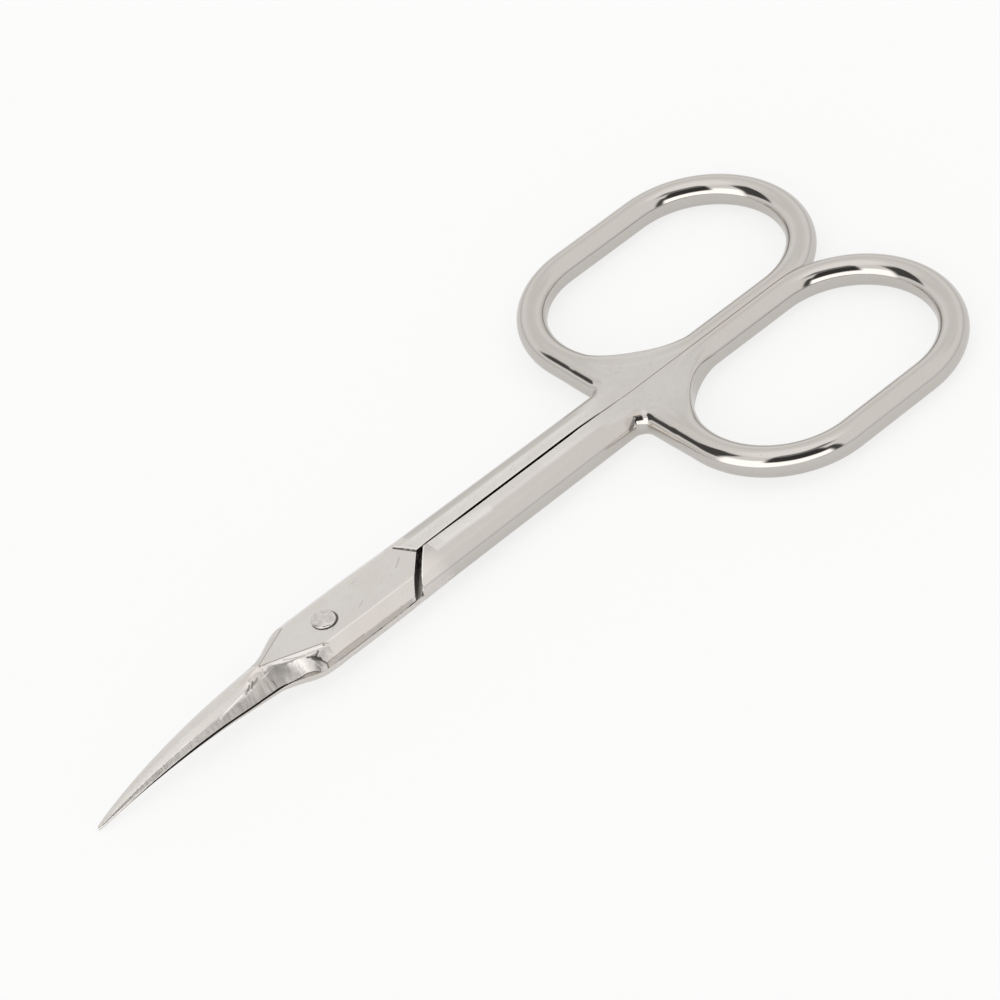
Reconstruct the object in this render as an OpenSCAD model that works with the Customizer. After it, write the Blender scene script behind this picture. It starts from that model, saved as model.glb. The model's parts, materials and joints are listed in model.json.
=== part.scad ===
// Cuticle scissors with curved blades, drawn closed, in millimetres.
// Two steel forgings cross at a pivot screw. The upper half carries the ring on the +Y side,
// so its blade lies towards -Y when the scissors open. +X points at the rings, +Z is the side
// with the screw head, and the blades curve down towards the tip.

/* [Finger rings] */
// Radius of a ring's round ends, to the middle of the bar
ring_r = 8.8; // [7.5:0.1:10]
// Straight run between a ring's two round ends
ring_straight = 8.8; // [6:0.1:12]
// Thickness of the round bar that the rings are drawn from
bar_d = 2.75; // [2.3:0.05:3]
// Distance from the pivot to the middle of the bar at a ring's near end
ring_start = 35.2; // [32:0.1:40]
// Height of the bar's middle beside the parting plane, where the two rings lie together
bar_inset = 0.55; // [0.4:0.05:0.8]
// Clearance between the two ring bars when the scissors are closed
ring_gap = 0.08; // [0.06:0.01:0.2]

/* [Shanks] */
// Thickness of the shanks
shank_t = 3.1; // [2.9:0.05:3.4]
// Width of one shank beside the joint
shank_w = 3.2; // [3:0.05:3.3]
// Width of the flat on top of one shank
shank_flat = 2.15; // [1.9:0.05:2.3]
// Height of the upright side between a shank's two bevels
shank_side = 1.12; // [0.9:0.02:1.3]
// Angle at which each shank narrows towards the rings
shank_taper = 0.5; // [0.2:0.1:0.8]
// Clearance between the shanks along their relieved middle
shank_gap = 0.28; // [0.2:0.01:0.4]
// Thickness of the flat web between shank and ring
web_t = 2.6; // [2.3:0.05:2.65]
// Radius of the fillet between a shank and its ring
web_fillet = 1.2; // [0.8:0.1:1.6]

/* [Joint] */
// Thickness of both joint plates together
joint_t = 3.0; // [2.8:0.05:3.2]
// Width of the joint plates
joint_w = 6.6; // [6.2:0.05:7]
// Width of the flat panel on a joint plate
panel_w = 4.4; // [4:0.05:4.7]
// Height of a joint plate's upright side above the parting plane
joint_side = 0.6; // [0.4:0.02:0.8]
// Distance from the pivot to the point where the sloping shoulder meets the parting plane
shoulder_x = 10.8; // [9.5:0.1:12]
// Clearance across the sloping shoulder
shoulder_gap = 0.5; // [0.3:0.05:0.7]
// Clearance between the two joint plates and between the two blades
blade_gap = 0.1; // [0.08:0.01:0.16]

/* [Blades] */
// Distance from the pivot to the tip
tip_reach = 25.6; // [23:0.1:29]
// Distance from the pivot to the point of the flat panel, where the blade starts
blade_root = 6.94; // [6.2:0.1:7.8]
// Width of a blade where it starts
blade_w = 3.7; // [3.4:0.05:4]
// Height of a blade's ridge above its inner face, just in front of the panel
blade_h = 1.1; // [0.9:0.02:1.25]
// Distance from the pivot at which the blades begin to curve down
bend_start = 11; // [9.5:0.1:12]
// Radius of the blades' downward curve
bend_r = 50; // [42:1:70]
// How far each cutting edge lies inside the other blade's back
edge_inset = 0.14; // [0.08:0.01:0.2]

/* [Pivot screw] */
// Diameter of the screw's shaft
pin_d = 1.8; // [1.5:0.05:2]
// Diameter of the screw's head
head_d = 2.3; // [2.1:0.05:2.6]
// Height of the screw's head above the panel
head_h = 0.36; // [0.25:0.01:0.45]
// Radial running clearance of the shaft in the upper half
pin_clear = 0.03; // [0.02:0.005:0.06]

/* [Hidden] */
pin_press = 0.01;
head_lift = 0.03;
pin_recess = 0.05;
overlap = 0.1;
inset = 0.02;
relief_lead = 1.7;
relief_short = 4.2;
ramp_run = 6;
bevel_short = 3;
step_lead = 0.4;
step_slant = 1.1;
front_start = 2.6;
shank_root = 5;
root_x = -1.5;
round_fn = 96;
bar_sides = 24;
ring_y = ring_r + bar_inset;
ring_x = ring_start + ring_r;
ring_far_x = ring_x + ring_straight;
ring_end = ring_far_x + ring_r + bar_d / 2;
shank_end = ring_start + overlap;
relief_start = shoulder_x + relief_lead;
relief_end = ring_start - relief_short;
ramp_start = ring_start - ramp_run;
bevel_end = ring_start - bevel_short;
corner_x = ring_start - bar_d / 2;
side_w = corner_x - web_fillet;
shank_w_end = shank_w - (ring_start - shank_root) * tan(shank_taper);
step_near = shoulder_x - step_lead;
step_far = step_near - step_slant;
wide = ring_end;
front_steps = 5;
blade_steps = 12;
front_slope = 2.24;
taper_power = 0.72;
height_power = 0.8;
tip_w = 0.1;
tip_h = 0.12;
run_out = 0.14;
apex_y = 0.28;
ridge_share = -0.5;
crown_share = 0.3;
crown_drop = 0.95;
edge_wall = 0.42;
back_wall = 0.35;
wall_min = 0.08;
tip_drop = curve(tip_reach);
base_z = max(joint_t / 2, shank_t / 2, tip_drop + tip_h + blade_gap / 2);
middle_x = (ring_end - tip_reach) / 2;

// How far the blades' parting surface has dropped at distance r from the pivot
function curve(r) = r < bend_start ? 0 : bend_r - sqrt(bend_r * bend_r - (r - bend_start) * (r - bend_start));

function mix(a, b, t) = a + (b - a) * t;

// Share of the way along the joint's front, and along the blade, for a station at distance d
function along_front(d) = (d + root_x) / (blade_root + root_x);

function along_blade(d) = (d - blade_root) / (tip_reach - blade_root);

// Half the width of the front: full width at first, then an easy S down to the blade
function front_half(d) =
    mix(joint_w / 2, blade_w / 2, 0.5 - 0.5 * cos(180 * max(0, (d - front_start) / (blade_root - front_start))));

function blade_half(t) = tip_w + (blade_w / 2 - tip_w) * pow(1 - t, taper_power);

function ridge_height(t) = tip_h + (blade_h - tip_h) * pow(1 - t, height_power);

// One point of a section: y across, h above the parting surface, on side 1 or -1
function spot(d, y, h, side) = [-d, side * y, side * (h + blade_gap / 2) - curve(norm([d, y]))];

// Six corners of a section through the joint's front, from the blade's back to its cutting edge
function front_section(d, u, side) =
    let (s = front_half(d) - inset)
    let (e = s - edge_inset * u)
    let (top = joint_t / 2 - blade_gap / 2 - inset)
    let (back = mix(joint_side, back_wall + wall_min, u) - blade_gap / 2)
    let (edge = mix(joint_side, edge_wall + wall_min, u) - blade_gap / 2)
    [
        spot(d, -s, inset, side),
        spot(d, -s, back, side),
        spot(d, mix(-panel_w / 2 + inset, apex_y, u), top, side),
        spot(d, min(panel_w / 2 - inset, apex_y + overlap + (blade_root - d) / front_slope), top, side),
        spot(d, e, edge, side),
        spot(d, e, inset, side)
    ];

// The same six corners through the blade itself
function blade_section(d, t, side) =
    let (s = blade_half(t))
    let (e = s - edge_inset * pow(1 - t, taper_power))
    let (b = min(1, t / run_out))
    let (top = mix(joint_t / 2 - blade_gap / 2, ridge_height(t), b))
    [
        spot(d, -s, inset, side),
        spot(d, -s, min(back_wall * (1 - t) + wall_min, top), side),
        spot(d, mix(apex_y, ridge_share * s, b), top, side),
        spot(d, mix(apex_y + overlap, crown_share * s, b), top * mix(1, crown_drop, b), side),
        spot(d, e, min(edge_wall * (1 - t) * (1 - t) + wall_min, top), side),
        spot(d, e, inset, side)
    ];

// The joint's front and the blade of one half, lofted through its sections
module blade(side) {
    start = -root_x - overlap;
    fronts = [for (i = [0 : front_steps]) mix(start, blade_root, i / front_steps)];
    blades = [for (i = [1 : blade_steps]) mix(blade_root, tip_reach, i / blade_steps)];
    sections = [
        for (d = fronts) front_section(d, max(0, along_front(d)), side),
        for (d = blades) blade_section(d, min(1, along_blade(d)), side)
    ];
    points = [for (s = sections) each s];
    corners = 6;
    last = len(sections) - 1;
    skin = [
        for (i = [0 : last - 1])
            for (j = [0 : corners - 1])
                let (a = i * corners + j, b = i * corners + (j + 1) % corners)
                    each [[a, a + corners, b], [b, a + corners, b + corners]]
    ];
    root_cap = [for (j = [0 : corners - 1]) j];
    tip_cap = [for (j = [corners - 1 : -1 : 0]) last * corners + j];
    polyhedron(points = points, faces = concat(skin, [root_cap, tip_cap]));
}

// The flat plate of the upper half's joint, with its bevelled sides and its sloping rear edge
module joint_plate() {
    difference() {
        rotate([90, 0, 90])
            translate([0, 0, root_x])
                linear_extrude(height = shoulder_x - root_x)
                    polygon([
                        [-joint_w / 2, blade_gap / 2],
                        [joint_w / 2, blade_gap / 2],
                        [joint_w / 2, joint_side],
                        [panel_w / 2, joint_t / 2],
                        [-panel_w / 2, joint_t / 2],
                        [-joint_w / 2, joint_side]
                    ]);
        translate([shoulder_x - shoulder_gap / sqrt(2), 0, -joint_t])
            rotate([0, 0, -135])
                cube([wide, wide, 2 * joint_t]);
    }
}

// One shank as a bevelled bar on the +Y side, narrowing towards the ring
module shank_bar() {
    translate([shank_root, shank_w, 0])
        rotate([0, 0, -shank_taper])
            rotate([90, 0, 90])
                linear_extrude(height = (shank_end - shank_root) / cos(shank_taper))
                    polygon([
                        [0, -shank_side / 2],
                        [0, shank_side / 2],
                        [shank_flat - shank_w, shank_t / 2],
                        [-shank_w - 1, shank_t / 2],
                        [-shank_w - 1, -shank_t / 2],
                        [shank_flat - shank_w, -shank_t / 2]
                    ]);
}

// The shank, thinned at its rear end until it meets the web
module shank() {
    ramp = atan((shank_t - web_t) / 2 / (ring_start - ramp_start));
    difference() {
        shank_bar();
        for (s = [-1, 1])
            translate([ramp_start, -wide / 2, s * shank_t / 2])
                rotate([0, s * ramp, 0])
                    translate([0, 0, s > 0 ? 0 : -shank_t])
                        cube([wide, wide, shank_t]);
    }
}

// The flat web that fills the corner between shank and ring, with a bar along its outer edge
module web() {
    difference() {
        union() {
            translate([bevel_end, 0, -web_t / 2])
                cube([ring_x - bevel_end, shank_w_end, web_t]);
            translate([side_w, 0, -web_t / 2])
                cube([ring_x - side_w, shank_w_end + web_fillet, web_t]);
            translate([ring_start, 0, -web_t / 2])
                cube([ring_r, ring_y, web_t]);
        }
        translate([side_w, shank_w_end + web_fillet, -web_t])
            cylinder(r = web_fillet, h = 2 * web_t, $fn = round_fn);
        translate([ring_x, ring_y, -web_t])
            cylinder(r = ring_r, h = 2 * web_t, $fn = round_fn);
    }
    translate([ring_start, ring_y, 0])
        rotate([90, 0, 0])
            linear_extrude(height = ring_y - shank_w_end)
                bar_section(0);
}

// Section of the ring bar at distance r from the centre that it turns about
module bar_section(r) {
    polygon([for (i = [0 : bar_sides - 1]) [r, 0] + bar_d / 2 * [cos(360 * i / bar_sides), sin(360 * i / bar_sides)]]);
}

// One finger ring: two half circles of bar and two straight runs
module ring() {
    translate([ring_x, ring_y, 0]) {
        rotate([0, 0, 90])
            rotate_extrude(angle = 180, $fn = round_fn)
                bar_section(ring_r);
        translate([ring_straight, 0, 0])
            rotate([0, 0, -90])
                rotate_extrude(angle = 180, $fn = round_fn)
                    bar_section(ring_r);
        for (s = [-1, 1])
            rotate([90, 0, 90])
                linear_extrude(height = ring_straight)
                    bar_section(s * ring_r);
    }
}

// Ring, web and shank of the upper half, cut back from the parting plane
module handle() {
    step_turn = atan((step_near - step_far) / (panel_w / 2));
    difference() {
        union() {
            ring();
            web();
            shank();
        }
        translate([-wide, -wide + ring_gap / 2, -wide / 2])
            cube([3 * wide, wide, wide]);
        translate([relief_start, 0, -shank_t])
            cube([relief_end - relief_start, shank_gap / 2, 2 * shank_t]);
        translate([shoulder_x + shoulder_gap / sqrt(2), 0, -2 * shank_t])
            rotate([0, 0, -135])
                translate([0, -wide / 2, 0])
                    cube([wide, wide, 2 * shank_t + blade_gap / 2 + overlap]);
        translate([step_near, 0, joint_side / 2])
            rotate([0, 0, step_turn])
                translate([-wide, -wide / 2, 0])
                    cube([wide, wide, wide]);
    }
}

// The upper half before its bore, and the lower half as the same shape turned over
module forging(side) {
    union() {
        rotate([side > 0 ? 0 : 180, 0, 0]) {
            joint_plate();
            handle();
        }
        blade(side);
    }
}

module bore(r) {
    translate([0, 0, -joint_t])
        cylinder(r = r, h = 2 * joint_t, $fn = round_fn);
}

// Moves a piece from the pivot's own frame to the middle of the box the scissors fill
module place() {
    translate([-middle_x, 0, base_z])
        children();
}

module upper_half() {
    color([0.78, 0.77, 0.75])
        place()
            difference() {
                forging(1);
                bore(pin_d / 2 + pin_clear);
            }
}

module lower_half() {
    color([0.7, 0.69, 0.68])
        place()
            difference() {
                forging(-1);
                bore(pin_d / 2 - pin_press);
            }
}

// Flat-bottomed shaft and low domed head, turned in one piece
module pivot_screw() {
    top = joint_t / 2 + head_h;
    under = joint_t / 2 + head_lift;
    color([0.86, 0.85, 0.83])
        place()
            rotate_extrude($fn = round_fn)
                polygon([
                    [0, -joint_t / 2 + pin_recess],
                    [pin_d / 2, -joint_t / 2 + pin_recess],
                    [pin_d / 2, under],
                    [head_d / 2, under],
                    [head_d / 2, top - head_h / 3],
                    [head_d / 2.4, top - head_h / 9],
                    [head_d / 4, top],
                    [0, top]
                ]);
}

upper_half();
lower_half();
pivot_screw();
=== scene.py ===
# %% [markdown]
# Cuticle scissors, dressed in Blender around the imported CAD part.
# The real object is two small steel forgings and one screw. The CAD part gives the exact sizes and the
# hinge. This file gives each piece the softened edges, wheel-cut facets and polished nickel of the real one.
# Everything is in metres in the frame of the CAD part: +X points at the finger rings and +Z is up.

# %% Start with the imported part
import json
import math

import bpy
import numpy as np
from mathutils import Matrix, Vector


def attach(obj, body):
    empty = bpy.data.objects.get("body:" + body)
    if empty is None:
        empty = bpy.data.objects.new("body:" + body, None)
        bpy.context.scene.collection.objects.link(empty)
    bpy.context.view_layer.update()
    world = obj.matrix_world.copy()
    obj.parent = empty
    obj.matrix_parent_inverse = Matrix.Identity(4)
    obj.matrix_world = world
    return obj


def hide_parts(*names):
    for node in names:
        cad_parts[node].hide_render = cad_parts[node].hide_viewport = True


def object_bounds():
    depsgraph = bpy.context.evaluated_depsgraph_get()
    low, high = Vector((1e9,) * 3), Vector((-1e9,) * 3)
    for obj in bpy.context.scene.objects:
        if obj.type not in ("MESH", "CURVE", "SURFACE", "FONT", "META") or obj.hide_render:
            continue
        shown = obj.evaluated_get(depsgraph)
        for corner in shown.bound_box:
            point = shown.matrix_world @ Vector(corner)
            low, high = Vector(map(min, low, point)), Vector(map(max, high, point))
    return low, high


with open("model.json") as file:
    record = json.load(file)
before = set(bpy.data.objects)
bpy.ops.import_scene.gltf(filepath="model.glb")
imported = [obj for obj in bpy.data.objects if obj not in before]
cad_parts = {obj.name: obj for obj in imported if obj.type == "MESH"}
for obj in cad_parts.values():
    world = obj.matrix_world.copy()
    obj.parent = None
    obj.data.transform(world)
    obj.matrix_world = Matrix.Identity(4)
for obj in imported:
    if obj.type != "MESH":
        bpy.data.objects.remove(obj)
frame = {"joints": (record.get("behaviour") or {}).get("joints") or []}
cad_low, cad_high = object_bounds()
pivot = Vector(frame["joints"][0]["pos_m"])
MM = 0.001
print("CAD box in mm:", [round((b - a) / MM, 2) for a, b in zip(cad_low, cad_high)])

# %% [markdown]
# The camera comes first, because it decides which details matter. A photographer would shoot a thing of
# this size with a long lens from about 40 cm, so that the near blade and the far rings keep their
# true proportions. The angles come from matching the two rings and the round screw head.

# %% Camera at the photograph's viewing angle
CAMERA_AT = Vector((-173.8656, -266.311, 286.1166)) * MM
TURN, TILT, LEAN = (math.radians(v) for v in (33.2992, 41.6628, -13.4709))
LENS, SENSOR = 181.608, 36.0

camera_data = bpy.data.cameras.new("camera")
camera = bpy.data.objects.new("camera", camera_data)
bpy.context.scene.collection.objects.link(camera)
bpy.context.scene.camera = camera
to_right = Vector((math.cos(TURN), -math.sin(TURN), 0))
to_back = Vector((-math.sin(TURN) * math.cos(TILT), -math.cos(TURN) * math.cos(TILT), math.sin(TILT)))
to_up = to_back.cross(to_right)
cam_right = math.cos(LEAN) * to_right + math.sin(LEAN) * to_up
cam_up = math.cos(LEAN) * to_up - math.sin(LEAN) * to_right
camera_turn = Matrix((cam_right, cam_up, to_back)).transposed().to_4x4()
camera.matrix_world = Matrix.Translation(CAMERA_AT) @ camera_turn
camera_data.lens = LENS
camera_data.sensor_width = SENSOR
camera_data.clip_start = 0.01
camera_data.clip_end = 20.0
print("camera distance in mm:", round((camera.location - pivot).length / MM))

# %% [markdown]
# Polished nickel has almost no colour of its own: it shows the room. So the room comes next. Node trees
# are much shorter with three helpers: one adds a node with its inputs, one does arithmetic and one makes
# a soft step.

# %% Node helpers
def add(tree, kind, inputs=None, **settings):
    """A new node with its settings made and each input set to a value or linked to a socket."""
    made = tree.nodes.new(kind)
    for key, value in settings.items():
        setattr(made, key, value)
    for key, value in (inputs or {}).items():
        if isinstance(value, bpy.types.NodeSocket):
            tree.links.new(value, made.inputs[key])
        else:
            made.inputs[key].default_value = value
    return made


def calc(tree, operation, *values, clamp=False):
    """The result of one arithmetic node."""
    made = add(tree, "ShaderNodeMath", dict(enumerate(values)), operation=operation, use_clamp=clamp)
    return made.outputs[0]


def fade(tree, value, start, end, low=0.0, high=1.0):
    """A soft step from low to high while value goes from start to end."""
    made = add(tree, "ShaderNodeMapRange", {"Value": value, "From Min": start, "From Max": end,
                                            "To Min": low, "To Max": high}, interpolation_type="SMOOTHSTEP")
    return made.outputs[0]


print("node helpers: add, calc, fade")

# %% [markdown]
# The studio is a white tent with an opening for the camera, and the streaks on the rings show it. The
# opening is dark, a bright panel hangs under it, two dark posts stand left and right of it, a black strip
# lies above it and the roof is a little brighter than the walls. A world shader can paint this tent by
# compass direction and height, which gives clean reflections with no lamp to sample. Most of the tent is
# about as bright as plain white, so colours render as written.

# %% The white tent
WALL_LOW, WALL_HIGH, ROOF = 0.72, 0.97, 1.15
# Each part: compass direction, height, half width, half height, softness, lean, brightness
TENT_PARTS = (
    (60.0, 42.0, 70.0, 8.0, 9.0, 0.0, 0.86),      # seam of the wall opposite the camera
    (-142.0, 24.0, 52.0, 22.0, 5.0, 0.12, 1.75),  # bright panel under the camera
    (-122.0, 51.0, 33.0, 19.0, 4.0, 0.0, 0.05),   # opening for the camera
    (-86.0, 28.0, 5.0, 20.0, 2.5, 0.0, 0.08),     # right post
    (-105.0, 69.0, 46.0, 6.0, 3.0, 0.0, 0.25),    # black strip above the opening
    (144.0, 42.0, 19.0, 20.0, 4.0, 0.0, 0.08),    # left post
)
world = bpy.data.worlds.new("white_tent")
bpy.context.scene.world = world
world.use_nodes = True
tent = world.node_tree
tent.nodes.clear()
outward = add(tent, "ShaderNodeTexCoord").outputs["Generated"]
direction = add(tent, "ShaderNodeSeparateXYZ", {0: outward}).outputs
height = calc(tent, "DEGREES", calc(tent, "ARCSINE", direction[2]))
compass = calc(tent, "DEGREES", calc(tent, "ARCTAN2", direction[1], direction[0]))


def window(centre, level, half_wide, half_high, soft, lean):
    """A mask for a part of the tent round a compass direction and a height, all in degrees."""
    off = calc(tent, "WRAP", calc(tent, "SUBTRACT", compass, centre), 180.0, -180.0)
    rise = calc(tent, "SUBTRACT", calc(tent, "SUBTRACT", height, level), calc(tent, "MULTIPLY", off, lean))
    across = fade(tent, calc(tent, "ABSOLUTE", off), half_wide - soft, half_wide + soft, 1.0, 0.0)
    upright = fade(tent, calc(tent, "ABSOLUTE", rise), half_high - soft, half_high + soft, 1.0, 0.0)
    return calc(tent, "MULTIPLY", across, upright)


def paint(base, mask, level):
    """The tent's brightness with one part of it brought to a level."""
    mixed = add(tent, "ShaderNodeMix", {0: mask, 2: base, 3: level}, data_type="FLOAT")
    return mixed.outputs[0]


glow = fade(tent, height, 2.0, 20.0, WALL_LOW, WALL_HIGH)
glow = paint(glow, fade(tent, height, 62.0, 74.0), ROOF)
for *spot, brightness in TENT_PARTS:
    glow = paint(glow, window(*spot), brightness)
rays = add(tent, "ShaderNodeLightPath").outputs
seen = add(tent, "ShaderNodeMix", {0: rays["Is Camera Ray"], 2: glow, 3: 1.0}, data_type="FLOAT").outputs[0]
tint = add(tent, "ShaderNodeBackground", {"Color": (1.0, 0.995, 0.985, 1.0), "Strength": seen})
tent.links.new(tint.outputs[0], add(tent, "ShaderNodeOutputWorld").inputs[0])
print("parts of the tent painted:", len(TENT_PARTS) + 1)

# %% [markdown]
# The scissors lie on a sheet of white card. The blades curve down, so the pair touches the card with the
# tip and with the far ends of the rings, and the card is tilted a little to match. Seen directly or in
# the metal, part of its white comes from Light Path, which keeps the background white and the contact
# shadow soft without more light on the steel.

# %% White card
CARD_SLOPE, CARD_HALF, CARD_GAP = 0.01117, 9, 0.02 * MM
SEEN_SHARE, METAL_SHARE = 0.62, 0.45
card_mesh = bpy.data.meshes.new("white_card")
card_mesh.from_pydata([(x, y, x * CARD_SLOPE) for x, y in (
    (-CARD_HALF, -CARD_HALF), (CARD_HALF, -CARD_HALF), (CARD_HALF, CARD_HALF), (-CARD_HALF, CARD_HALF))],
    [], [(0, 1, 2, 3)])
card = bpy.data.objects.new("white_card", card_mesh)
card.location = (0, 0, cad_low[2] - cad_low[0] * CARD_SLOPE - CARD_GAP)
bpy.context.scene.collection.objects.link(card)
paper = bpy.data.materials.new("white_paper")
paper.use_nodes = True
sheet = paper.node_tree
sheet.nodes.clear()
rays = add(sheet, "ShaderNodeLightPath").outputs
in_metal = calc(sheet, "ADD", rays["Is Glossy Ray"], rays["Is Transmission Ray"])
in_metal = calc(sheet, "MULTIPLY", in_metal, METAL_SHARE)
looked_at = calc(sheet, "ADD", calc(sheet, "MULTIPLY", rays["Is Camera Ray"], SEEN_SHARE), in_metal)
matt = add(sheet, "ShaderNodeBsdfDiffuse", {"Color": (0.7, 0.7, 0.695, 1.0)})
white = add(sheet, "ShaderNodeEmission", {"Color": (1.0, 1.0, 1.0, 1.0), "Strength": 1.2})
both = add(sheet, "ShaderNodeMixShader", {0: looked_at, 1: matt.outputs[0], 2: white.outputs[0]})
sheet.links.new(both.outputs[0], add(sheet, "ShaderNodeOutputMaterial").inputs[0])
card_mesh.materials.append(paper)
print("card tilted by", round(math.degrees(math.atan(CARD_SLOPE)), 2), "degrees")

# %% [markdown]
# A forging is easiest to describe as a solid whose distance from any point is known: below zero is inside
# the steel. Such distances can be joined with a fillet, cut with a wheel or rounded along an edge by
# simple arithmetic, which is close to how the smith works. These helpers are the tools, in millimetres.

# %% The forge's tools
def soft_cut(a, b, k):
    """The part of a that b leaves, with the edge rounded over about k mm."""
    near = np.maximum(k - np.abs(a - b), 0) / k
    return np.maximum(a, b) + near * near * k / 4


def soft_join(a, b, k):
    """a and b together, with the inner corner filled over about k mm."""
    return -soft_cut(-a, -b, k)


def fillet(a, b, r):
    """Two outlines together, with a round fillet of radius r in the corner."""
    return np.maximum(r, np.minimum(a, b)) - np.hypot(np.maximum(r - a, 0), np.maximum(r - b, 0))


def ease(v, low, high):
    """A soft step from 0 to 1 while v goes from low to high."""
    t = np.clip((v - low) / (high - low), 0, 1)
    return t * t * (3 - 2 * t)


def slab(outline, height, half, edge):
    """A plate of half thickness half, whose outline is rounded by the radius edge."""
    side, top = outline + edge, np.abs(height) - (half - edge)
    return np.minimum(np.maximum(side, top), 0) + np.hypot(np.maximum(side, 0), np.maximum(top, 0)) - edge


print("a fillet of 1 mm fills its corner by", round(-float(fillet(0.0, 0.0, 1.0)), 3), "mm")

# %% [markdown]
# Both halves come from the same die. One half is described lying flat, seen from its outer side: x along
# the scissors from the screw, y across towards its own ring, and h up from the plane where the halves
# meet. The finger ring is a round bar bent to an oval. Its inner side is trimmed flat after forging,
# which leaves a crisp line round the hole, and a flat web fills the corner between ring and shank.

# %% Finger ring and web
RING_R, RING_X, RING_FAR_X, RING_Y = 8.8, 44.0, 52.8, 9.35
BAR_R = 1.375    # radius of the ring's bar
TRIM = 1.31      # how far inside the bar's middle line its inner side is trimmed
WEB_HALF = 1.3   # half the thickness of the web
CORNER_X = RING_X - RING_R - BAR_R


def ring_reach(x, y):
    """How far a point lies outside the middle line of the ring's bar, in plan."""
    along = np.maximum(np.maximum(RING_X - x, x - RING_FAR_X), 0)
    return np.hypot(along, y - RING_Y) - RING_R


def shank_side(x):
    """How far the outer side of the half stands from the middle plane, joint and shank in one line."""
    return 3.3 - 0.1 * ease(x, 3.5, 11.0) - np.maximum(x - 5, 0) * math.tan(math.radians(0.5))


def ring_and_web(x, y, h):
    """The ring's round bar, the straight bar that leads to it and the web in their corner."""
    reach = ring_reach(x, y)
    flat = (1 - ease(x, 38.5, 45.0)) * (1 - ease(y, 3.0, 8.0))
    straight = np.where(y < RING_Y, np.abs(x - CORNER_X - BAR_R) + np.maximum(3.0 - y, 0), 9.0)
    bar = soft_cut(np.hypot(reach, h) - BAR_R, -reach - TRIM, 0.05)
    bar = np.minimum(bar, np.maximum(np.hypot(straight, h) - BAR_R, -reach - TRIM))
    bar = soft_cut(bar, np.abs(h) - (WEB_HALF + 0.11 * (1 - flat)), 0.06)
    corner = np.where((x < RING_X) & (y < RING_Y), CORNER_X - x, reach - BAR_R)
    outline = fillet(np.maximum(y - shank_side(x), x - 46.0), corner, 1.0)
    half = WEB_HALF - 0.6 * (1 - (1 - ease(x, 42.5, 46.0)) * (1 - ease(y, 6.0, 9.3)))
    web = soft_cut(slab(outline, h, half, 1.28), slab(-reach - TRIM, h, half, 1.27 - 0.95 * flat), 0.05)
    return soft_join(bar, web, 0.12)


hole = 2 * (RING_R - TRIM)
print("clear hole of a ring in mm:", round(RING_FAR_X - RING_X + hole, 2), "by", round(hole, 2))

# %% [markdown]
# The shank is a straight bar whose outer side is crowned: the belt that polished it rolled over the edge,
# so light runs along it in soft bands. It thins a little before the web, and the crown ends in a
# scoop where the belt ran off against the ring.

# %% Shank
def shank(x, y, h):
    """The straight bar from the joint to the web, crowned on its outer side."""
    side = y - shank_side(x)
    rise = 1.58 - 0.28 * ease(x, 29.0, 35.0) - 0.4 * ease(x, 34.0, 37.0)
    bevel = (side * 0.99 + (np.abs(h) - 0.56) * 1.15) / 1.517
    crown = soft_cut(soft_cut(side, bevel, 0.5), np.abs(h) - rise, 0.75)
    return np.maximum(crown, np.maximum(x - 37.0, 5.0 - x))


def belt_scoop(x, y, h):
    """The hollow at the end of the crown, next to the ring."""
    ball = 1.4 - np.sqrt(((x - 33.0) / 1.4) ** 2 + (y - 3.2) ** 2 + (np.abs(h) - 1.8) ** 2)
    nick = 0.34 - np.sqrt((x - 32.1) ** 2 + (y - 2.3) ** 2 + (np.abs(h) - 1.25) ** 2)
    groove = 0.34 - np.sqrt(((x - 33.4) * 0.5 + (y - 3.1) * 0.5) ** 2 + (np.abs(h) - 1.34) ** 2
                            + (np.maximum(np.abs((x - 33.4) - (y - 3.1)) - 0.6, 0)) ** 2)
    return soft_join(soft_join(ball, nick, 0.12), groove, 0.1) * 0.8


print("width of one shank by the joint and by the web in mm:",
      [round(float(shank_side(np.array(x))), 2) for x in (12.0, 30.0)])

# %% [markdown]
# At the joint each half is cut to half its thickness, with a sloping shoulder, so that the two plates can
# turn over each other. The cutter that made the flat panel stopped on a slant at the shank, which
# leaves a fine step there. The sides of both plates are ground together after assembly, so the seam
# between them almost disappears. Between the two shanks a little steel is taken off, so that they come
# close to each other only near the rings.

# %% Joint plate and handle
JOINT_T, JOINT_SIDE = 3.0, 0.6   # thickness of the joint, and height of its upright sides


def seam(x):
    """How far the inner face stands back from the middle plane: closed at the joint, hollow in the blade."""
    return 0.004 + 0.17 * ease(-x, 4.6, 7.0) * (1 - ease(-x, 15.0, 25.0))


def joint_plate(x, y, h):
    """The half-thick plate round the screw, with its bevels and its own sloping shoulder."""
    side = np.abs(y) - shank_side(x)
    bevel = (side * 0.9 + (h - JOINT_SIDE) * 1.1) / 1.421
    plate = soft_cut(soft_cut(side, bevel, 0.12), h - JOINT_T / 2, 0.14)
    plate = soft_cut(plate, seam(x) - h, 0.012)
    plate = soft_cut(plate, (x - y - 10.446) / math.sqrt(2), 0.14)
    return np.maximum(plate, np.maximum(x - 10.9, -2.6 - x))


def step_line(x, y):
    """Distance from the slanting step where the panel's cutter stopped, towards the rings."""
    return (x - 10.4) * 0.894 + y * 0.447


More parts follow.
